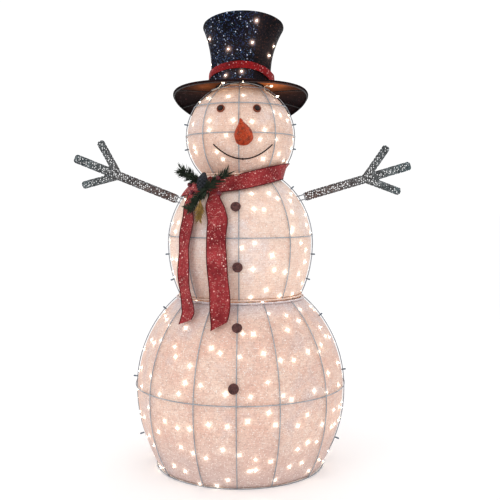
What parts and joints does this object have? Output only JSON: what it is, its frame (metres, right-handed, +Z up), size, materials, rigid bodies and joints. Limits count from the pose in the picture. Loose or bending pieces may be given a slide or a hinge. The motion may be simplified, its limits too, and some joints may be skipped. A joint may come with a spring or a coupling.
{
  "type": "pre-lit wire-frame snowman",
  "caption": "Free-standing pre-lit snowman: wire-frame balls in glitter mesh, top hat, twig arms, ribbon scarf and carrot nose, in lift-off sections.",
  "frame": {"origin": "centre of the bottom ring, on the ground", "axes": "+Z up; the face, buttons and nose look along -Y; +X is on the right of a person who looks at the face"},
  "size_m": [1.1443, 0.7039, 1.5238],
  "materials": {
    "frame_wire": "pale grey-blue enamel, semi-gloss",
    "glitter_mesh": "white glitter mesh, lit warm from inside",
    "light_cord": "white flexible cord, satin",
    "connector": "white moulded plastic, satin",
    "button": "dark brown, satin",
    "eye": "near black, gloss",
    "carrot": "orange, matte with fine glitter",
    "mouth_wire": "dark brown, satin",
    "hat_fabric": "navy black glitter fabric",
    "hat_band": "red glitter ribbon",
    "scarf_ribbon": "dark red woven ribbon with glitter",
    "pine_needles": "dark green, matte",
    "pinecone": "dark brown, dry",
    "berry": "burgundy, gloss",
    "sequin_mesh": "grey-brown see-through sequin mesh"
  },
  "bodies": {
    "base": {"base_frame": "frame_wire", "base_cover": "glitter_mesh", "base_light_string": "light_cord", "base_socket_tube_1": "frame_wire", "base_socket_tube_2": "frame_wire", "base_socket_tube_3": "frame_wire", "base_socket_tube_4": "frame_wire", "base_string_socket": "connector", "button_3": "button", "button_4": "button"},
    "torso": {"torso_frame": "frame_wire", "torso_cover": "glitter_mesh", "torso_light_string": "light_cord", "torso_socket_tube_1": "frame_wire", "torso_socket_tube_2": "frame_wire", "torso_socket_tube_3": "frame_wire", "torso_socket_tube_4": "frame_wire", "torso_string_plug": "connector", "torso_string_socket": "connector", "arm_socket_left": "frame_wire", "arm_socket_right": "frame_wire", "button_1": "button", "button_2": "button", "scarf_neck_wrap": "scarf_ribbon", "scarf_knot": "scarf_ribbon", "scarf_tail_front": "scarf_ribbon", "scarf_tail_side": "scarf_ribbon", "pine_sprig_upper_left": "pine_needles", "pine_sprig_upper_right": "pine_needles", "pine_sprig_lower": "pine_needles", "pinecone": "pinecone", "berry_1": "berry", "berry_2": "berry", "berry_3": "berry", "berry_4": "berry"},
    "head": {"head_frame": "frame_wire", "head_cover": "glitter_mesh", "head_light_string": "light_cord", "head_string_plug": "connector", "hat_socket_tube_left": "frame_wire", "hat_socket_tube_right": "frame_wire", "eye_left": "eye", "eye_right": "eye", "nose": "carrot", "mouth_wire": "mouth_wire"},
    "hat": {"hat_frame": "frame_wire", "hat_crown_cover": "hat_fabric", "hat_brim_cover": "hat_fabric", "hat_band": "hat_band", "hat_light_string": "light_cord"},
    "arm_left": {"arm_left_frame": "frame_wire", "arm_left_cover": "sequin_mesh"},
    "arm_right": {"arm_right_frame": "frame_wire", "arm_right_cover": "sequin_mesh"}
  },
  "joints": [
    {"name": "torso_lift", "type": "slide", "parent": "base", "child": "torso", "axis": [0, 0, 1], "range_m": [0, 0.3]},
    {"name": "head_lift", "type": "slide", "parent": "torso", "child": "head", "axis": [0, 0, 1], "range_m": [0, 0.25]},
    {"name": "hat_lift", "type": "slide", "parent": "head", "child": "hat", "axis": [0, 0.2079, 0.9781], "range_m": [0, 0.2]},
    {"name": "arm_left_pull", "type": "slide", "parent": "torso", "child": "arm_left", "axis": [-0.9272, 0, 0.3746], "range_m": [0, 0.08]},
    {"name": "arm_right_pull", "type": "slide", "parent": "torso", "child": "arm_right", "axis": [0.9588, 0, 0.284], "range_m": [0, 0.08]}
  ]
}
